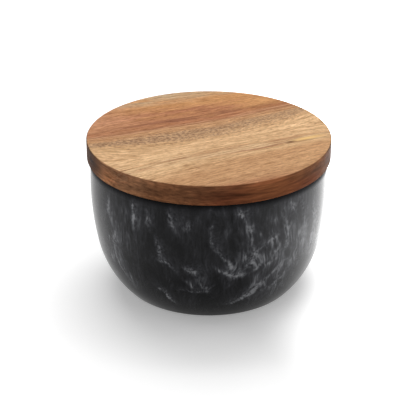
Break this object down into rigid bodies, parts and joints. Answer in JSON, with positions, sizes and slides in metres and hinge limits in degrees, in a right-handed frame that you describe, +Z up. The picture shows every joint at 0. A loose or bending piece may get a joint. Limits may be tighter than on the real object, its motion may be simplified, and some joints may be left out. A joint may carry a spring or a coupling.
{
  "type": "salt cellar",
  "caption": "Round salt cellar: a marbled cast-resin bowl under a flat wooden lid that swivels aside on a hidden rear pin, is held shut by magnets and lifts off.",
  "frame": {"origin": "middle of the foot pad's underside, on the table", "axes": "+Z up along the bowl's axis, -Y the front with the magnets, +Y the rear with the pivot pin, +X to the right seen from the front"},
  "size_m": [0.105, 0.105, 0.068],
  "materials": {
    "bowl_resin": "polished black cast resin with smoky grey marbling",
    "lid_wood": "oiled, finely sanded acacia",
    "pin_steel": "ground stainless steel",
    "nylon": "natural nylon",
    "magnet_nickel": "bright nickel plate",
    "pad_rubber": "matt black foam rubber"
  },
  "bodies": {
    "bowl": {"bowl": "bowl_resin", "foot_pad": "pad_rubber", "pivot_bush": "nylon", "bowl_magnet": "magnet_nickel"},
    "washer": {"pivot_washer": "nylon"},
    "lid": {"lid": "lid_wood", "pivot_pin": "pin_steel", "lid_magnet": "magnet_nickel"}
  },
  "joints": [
    {"name": "lid_swivel", "type": "hinge", "parent": "bowl", "child": "washer", "pos_m": [0, 0.046, 0.059], "axis": [0, 0, 1], "range_deg": [-180, 180]},
    {"name": "lid_lift", "type": "slide", "parent": "washer", "child": "lid", "axis": [0, 0, 1], "range_m": [0, 0.03]}
  ]
}
